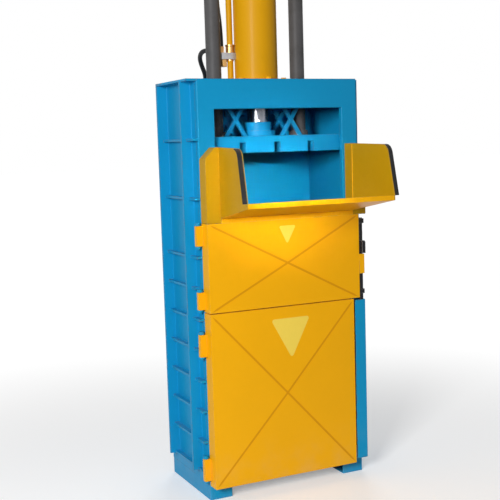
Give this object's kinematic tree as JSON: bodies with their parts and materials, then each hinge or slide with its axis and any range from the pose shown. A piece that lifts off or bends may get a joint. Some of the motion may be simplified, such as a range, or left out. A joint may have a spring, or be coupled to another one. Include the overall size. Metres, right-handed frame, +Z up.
{
  "type": "recycling baler",
  "caption": "Upright recycling baler with a press cylinder, two hinged doors, a feed hopper and a lift-up lock bar.",
  "frame": {"origin": "on the floor at the centre of the four anchor bolt holes under the skids", "axes": "+X to the right seen from the front, +Y to the rear, +Z up"},
  "size_m": [1.005, 1.133, 2.905],
  "materials": {
    "blue_paint": "satin",
    "yellow_paint": "satin",
    "worn_steel": "worn",
    "brass": "satin",
    "steel": "satin",
    "hose_rubber": "matte",
    "edge_rubber": "matte",
    "motor_paint": "satin",
    "cast_iron": "matte",
    "black_paint": "satin",
    "grey_paint": "satin",
    "chrome": "polished",
    "dark_steel": "satin",
    "red_plastic": "glossy",
    "green_plastic": "glossy"
  },
  "bodies": {
    "press_frame": {"skids": "blue_paint", "cross_members": "blue_paint", "chamber_floor": "worn_steel", "front_frame": "blue_paint", "side_walls": "blue_paint", "rear_wall": "blue_paint", "left_stiffeners": "blue_paint", "right_stiffeners": "blue_paint", "rear_beams": "blue_paint", "top_deck": "blue_paint", "deck_beams": "blue_paint", "guide_bushes": "brass", "cylinder_flange": "yellow_paint", "cylinder_barrel": "yellow_paint", "cylinder_gland": "yellow_paint", "cylinder_cap": "yellow_paint", "cylinder_bolts": "yellow_paint", "hinge_ears": "blue_paint", "hinge_pins": "blue_paint", "lock_cover": "blue_paint", "lock_guides": "black_paint", "port_blocks": "steel", "pressure_pipe": "yellow_paint", "union_nuts": "brass", "hose_fitting": "steel", "hose_lower": "hose_rubber", "hose_upper": "hose_rubber", "tank_shelf": "blue_paint", "oil_tank": "blue_paint", "tank_lid": "blue_paint", "pump_motor": "motor_paint", "motor_bell": "cast_iron", "fan_cowl": "black_paint", "valve_block": "steel", "filler_cap": "black_paint", "control_box": "grey_paint", "control_cover": "grey_paint"},
    "ram": {"platen_sole": "blue_paint", "platen_rails": "blue_paint", "platen_braces": "blue_paint", "rod_coupling": "blue_paint", "piston_rod": "chrome", "piston": "steel", "guide_rods": "dark_steel"},
    "lower_door": {"lower_door_skin": "yellow_paint", "lower_door_frame": "yellow_paint", "lower_door_hinges": "yellow_paint"},
    "mid_door": {"mid_door_skin": "yellow_paint", "mid_door_frame": "yellow_paint", "mid_door_hinges": "yellow_paint", "mid_door_lug": "yellow_paint", "hopper_ears": "yellow_paint", "hopper_cheeks": "yellow_paint", "hopper_floor": "yellow_paint", "hopper_edge_strips": "edge_rubber"},
    "lock": {"lock_bar": "black_paint", "lock_hooks": "black_paint", "lock_handle": "black_paint"},
    "stop": {"stop_button": "red_plastic"},
    "start": {"start_button": "green_plastic"}
  },
  "joints": [
    {"name": "press_slide", "type": "slide", "parent": "press_frame", "child": "ram", "axis": [0, 0, -1], "range_m": [0, 0.8]},
    {"name": "lower_door_hinge", "type": "hinge", "parent": "press_frame", "child": "lower_door", "pos_m": [-0.424, -0.23, 0.4], "axis": [0, 0, -1], "range_deg": [0, 110]},
    {"name": "mid_door_hinge", "type": "hinge", "parent": "press_frame", "child": "mid_door", "pos_m": [-0.424, -0.23, 1.07], "axis": [0, 0, -1], "range_deg": [0, 110]},
    {"name": "lock_slide", "type": "slide", "parent": "press_frame", "child": "lock", "axis": [0, 0, 1], "range_m": [-0.045, 0]},
    {"name": "stop_press", "type": "slide", "parent": "press_frame", "child": "stop", "axis": [0, 1, 0], "range_m": [0, 0.004], "stiffness_N_per_m": 600},
    {"name": "start_press", "type": "slide", "parent": "press_frame", "child": "start", "axis": [0, 1, 0], "range_m": [0, 0.004], "stiffness_N_per_m": 400}
  ]
}
